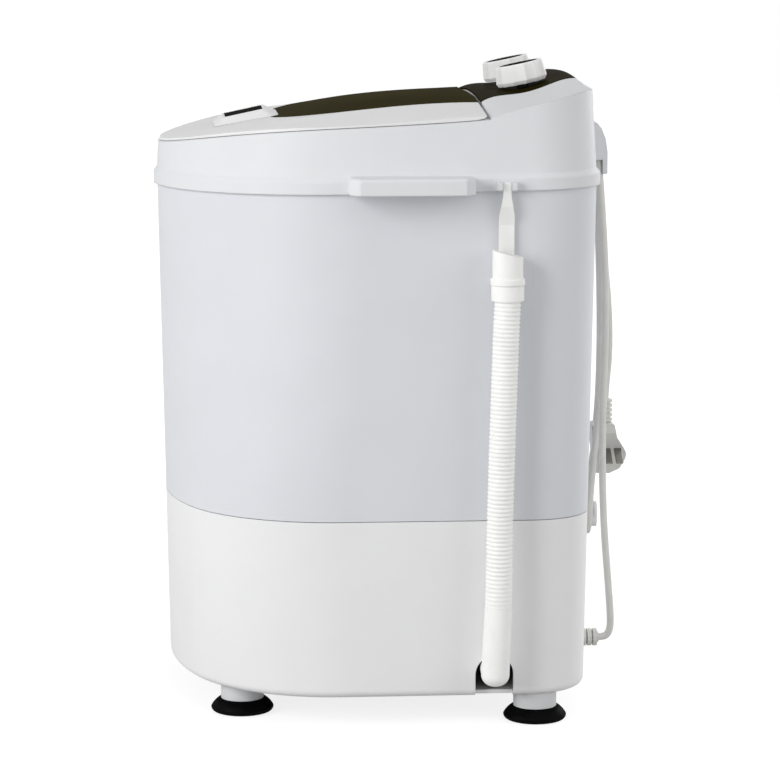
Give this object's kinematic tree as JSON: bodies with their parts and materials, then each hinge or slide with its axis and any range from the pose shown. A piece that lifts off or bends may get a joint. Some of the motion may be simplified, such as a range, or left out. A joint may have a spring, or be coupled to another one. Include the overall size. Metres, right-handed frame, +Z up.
{
  "type": "portable washing machine",
  "caption": "Small free-standing top-loading washing machine with a hinged smoked lid, twin knobs on a raised console, side carry handles, a ribbed drain hose and a wound power cord.",
  "frame": {"origin": "centre of the footprint box of the machine without its cord, on the floor under the feet", "axes": "+Z up, -Y towards the front where the lid opens, +X towards the side with the drain hose"},
  "size_m": [0.4167, 0.3966, 0.5224],
  "materials": {
    "white_body": "smooth moulded plastic with a soft gloss",
    "white_lid": "smooth moulded plastic with a soft gloss",
    "grey_body": "smooth bluish light grey plastic with a soft gloss",
    "leg": "light grey plastic",
    "foot_rubber": "black rubber with a dull sheen",
    "pipe_rubber": "dark rubber",
    "zinc": "zinc plated steel",
    "cast_housing": "cast aluminium",
    "bush": "sintered bronze",
    "steel": "turned steel",
    "black_plastic": "dark glass-filled plastic",
    "belt": "black rubber",
    "motor_shell": "lacquered steel shell",
    "capacitor_case": "light plastic case",
    "smoked_window": "smoked olive-black clear plastic, polished",
    "dark_inlay": "olive-black glossy film",
    "bare_plate": "dark polished plate, bare",
    "knob_white": "white plastic with flat sides",
    "cord_grey": "grey-beige flexible plastic sheath",
    "blade_dark": "darkened metal blades",
    "hose_white": "warm white translucent flexible plastic"
  },
  "bodies": {
    "washer": {"base_housing": "white_body", "leg_front_left": "leg", "leg_front_right": "leg", "leg_rear_left": "leg", "leg_rear_right": "leg", "foot_front_left": "foot_rubber", "foot_front_right": "foot_rubber", "foot_rear_left": "foot_rubber", "foot_rear_right": "foot_rubber", "tub": "grey_body", "drain_grille": "grey_body", "drain_pipe": "pipe_rubber", "pipe_clamp": "zinc", "bearing_housing": "cast_housing", "upper_bush": "bush", "lower_bush": "bush", "shaft_seal": "pipe_rubber", "bearing_screws": "zinc", "drive_belt": "belt", "motor": "motor_shell", "motor_mounts": "belt", "motor_screws": "zinc", "capacitor": "capacitor_case", "capacitor_clamp": "zinc", "top_frame": "white_body", "hose_clip": "white_body", "control_inlay": "dark_inlay", "console_cover": "white_body", "timer_body": "black_plastic", "selector_body": "black_plastic", "cord_hood": "white_body", "cord_hook": "white_body", "strain_relief": "cord_grey", "power_cord": "cord_grey", "plug_sleeve": "cord_grey", "plug_body": "cord_grey", "plug_blades": "blade_dark", "drain_boot": "hose_white"},
    "lid": {"lid_frame": "white_lid", "lid_window": "smoked_window", "lid_tab": "white_lid", "lid_plate": "bare_plate", "lid_hinge_pins": "steel"},
    "timer": {"timer_knob": "knob_white", "timer_cap": "bare_plate", "timer_shaft": "steel"},
    "selector": {"selector_knob": "knob_white", "selector_cap": "bare_plate", "selector_shaft": "steel"},
    "agitator": {"pulsator": "grey_body", "pulsator_shaft": "steel", "pulsator_screw": "steel", "large_pulley": "black_plastic", "pulley_nut": "zinc"},
    "rotor": {"rotor_shaft": "steel", "motor_pulley": "cast_housing"},
    "hose": {"drain_hose": "hose_white", "hose_cuff": "hose_white"}
  },
  "joints": [
    {"name": "lid_hinge", "type": "hinge", "parent": "washer", "child": "lid", "pos_m": [0, 0.0644, 0.4885], "axis": [-1, 0, 0], "range_deg": [0, 100]},
    {"name": "timer_turn", "type": "hinge", "parent": "washer", "child": "timer", "pos_m": [-0.05, 0.1126, 0.5006], "axis": [0, -0.2079, 0.9781], "range_deg": [0, 300]},
    {"name": "selector_turn", "type": "hinge", "parent": "washer", "child": "selector", "pos_m": [0.05, 0.1126, 0.5006], "axis": [0, -0.2079, 0.9781], "range_deg": [-60, 60]},
    {"name": "agitator_spin", "type": "hinge", "parent": "washer", "child": "agitator", "pos_m": [0, -0.011, 0.192], "axis": [0, 0, 1], "continuous": true},
    {"name": "rotor_spin", "type": "hinge", "parent": "washer", "child": "rotor", "pos_m": [0, -0.117, 0.138], "axis": [0, 0, 1], "continuous": true},
    {"name": "hose_lowering", "type": "hinge", "parent": "washer", "child": "hose", "pos_m": [0.20685, 0.0792, 0.1], "axis": [0, 1, 0], "range_deg": [0, 100]}
  ],
  "couplings": [
    {"joint": "rotor_spin", "follows": "agitator_spin", "ratio": 3.4091}
  ]
}
